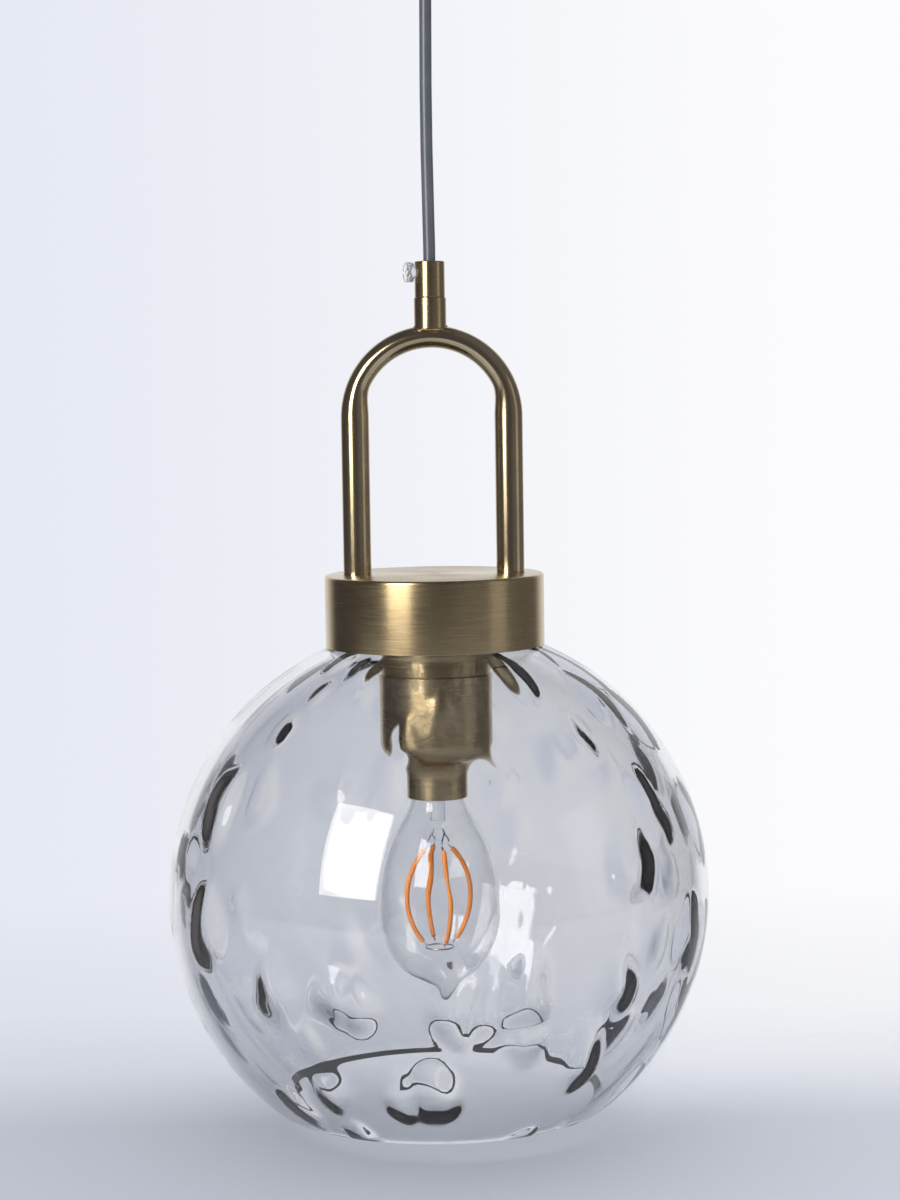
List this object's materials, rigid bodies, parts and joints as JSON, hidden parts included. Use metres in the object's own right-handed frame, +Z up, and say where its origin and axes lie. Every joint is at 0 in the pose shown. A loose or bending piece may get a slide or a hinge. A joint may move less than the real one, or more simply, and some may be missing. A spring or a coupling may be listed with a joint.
{
  "type": "pendant ceiling light",
  "caption": "Pendant ceiling light: a rippled clear glass globe under a brass collar and a U-shaped tube handle, hung on a round cord from a ceiling canopy.",
  "frame": {"origin": "on the ceiling plane, midway between the two ceiling screw slots of the bracket", "axes": "+Z up, the lamp hangs along -Z; +X along the bracket and across the handle's two legs; +Y away from the viewer"},
  "size_m": [0.25, 0.25, 0.561],
  "materials": {
    "brushed_brass": "brushed",
    "satin_brass_tube": "satin",
    "raw_brass": "turned",
    "zinc_steel": "zinc plated",
    "clear_nylon": "clear, glossy",
    "ivory_plastic": "moulded",
    "cord_pvc": "satin extruded sheath",
    "brown_pvc": "satin",
    "blue_pvc": "satin",
    "green_pvc": "satin",
    "silicone": "soft, translucent white",
    "globe_glass": "clear, polished outside, rippled inside",
    "bulb_glass": "clear, polished",
    "porcelain": "glazed",
    "solder": "dull",
    "black_glass": "glossy",
    "nickel": "rolled thread",
    "circuit_board": "solder mask",
    "phosphor": "matt silicone with phosphor"
  },
  "bodies": {
    "ceiling": {"ceiling_bracket": "zinc_steel", "canopy_studs": "zinc_steel", "canopy": "brushed_brass", "canopy_cap_nuts": "brushed_brass", "canopy_grip": "brushed_brass", "canopy_grip_nut": "zinc_steel", "terminal_block": "ivory_plastic", "terminal_screws": "zinc_steel", "ceiling_earth_screw": "raw_brass", "cord_tail": "cord_pvc", "ceiling_live_lead": "brown_pvc", "ceiling_neutral_lead": "blue_pvc", "ceiling_earth_lead": "green_pvc"},
    "canopy_screw": {"canopy_lock_screw": "clear_nylon"},
    "cord": {"power_cord": "cord_pvc"},
    "grip": {"cord_grip": "brushed_brass", "cord_sheath_end": "cord_pvc"},
    "grip_screw": {"grip_lock_screw": "clear_nylon"},
    "pendant": {"handle_coupler": "brushed_brass", "handle_tube": "satin_brass_tube", "leg_studs": "zinc_steel", "leg_washers": "zinc_steel", "leg_nuts": "zinc_steel", "live_wire": "brown_pvc", "neutral_wire": "blue_pvc", "earth_wire": "green_pvc", "frame_earth_screw": "raw_brass", "collar": "brushed_brass", "carrier_bracket": "zinc_steel", "hollow_nipple": "zinc_steel", "nipple_nut": "zinc_steel", "seat_plate": "zinc_steel", "seat_gasket": "silicone", "glass_globe": "globe_glass", "clamp_gasket": "silicone", "clamp_cap": "brushed_brass", "clamp_nut": "zinc_steel", "socket_cup": "brushed_brass", "holder_cap": "porcelain", "holder_body": "porcelain", "holder_shell": "zinc_steel", "holder_contact": "zinc_steel", "holder_terminals": "raw_brass", "holder_screws": "zinc_steel"},
    "bulb_tip": {"bulb_contact": "solder"},
    "bulb": {"bulb_insulator": "black_glass", "bulb_cap": "nickel", "bulb_glass": "bulb_glass", "bulb_stem": "bulb_glass", "bulb_driver": "circuit_board", "lead_wire_a": "zinc_steel", "lead_wire_b": "zinc_steel", "filament_1": "phosphor", "filament_2": "phosphor", "filament_3": "phosphor", "filament_4": "phosphor", "filament_link": "zinc_steel"}
  },
  "joints": [
    {"name": "canopy_screw_turn", "type": "hinge", "parent": "ceiling", "child": "canopy_screw", "pos_m": [0, 0, -0.038], "axis": [-0.9397, -0.342, 0], "range_deg": [0, 720]},
    {"name": "cord_sway", "type": "hinge", "parent": "ceiling", "child": "cord", "pos_m": [0, 0, -0.043], "axis": [0, 1, 0], "range_deg": [-20, 20]},
    {"name": "pendant_nod", "type": "hinge", "parent": "cord", "child": "grip", "pos_m": [0, 0, -0.173], "axis": [1, 0, 0], "range_deg": [-20, 20]},
    {"name": "grip_screw_turn", "type": "hinge", "parent": "grip", "child": "grip_screw", "pos_m": [0, 0, -0.178], "axis": [-0.9397, -0.342, 0], "range_deg": [0, 720]},
    {"name": "pendant_turn", "type": "hinge", "parent": "grip", "child": "pendant", "pos_m": [0, 0, -0.1894], "axis": [0, 0, 1], "range_deg": [-180, 180]},
    {"name": "bulb_travel", "type": "slide", "parent": "pendant", "child": "bulb_tip", "axis": [0, 0, -1], "range_m": [0, 0.02177]},
    {"name": "bulb_turn", "type": "hinge", "parent": "bulb_tip", "child": "bulb", "pos_m": [0, 0, -0.41968], "axis": [0, 0, -1], "range_deg": [0, 2160]}
  ],
  "couplings": [
    {"joint": "bulb_turn", "follows": "bulb_travel", "rad_per_m": 1731.4}
  ]
}
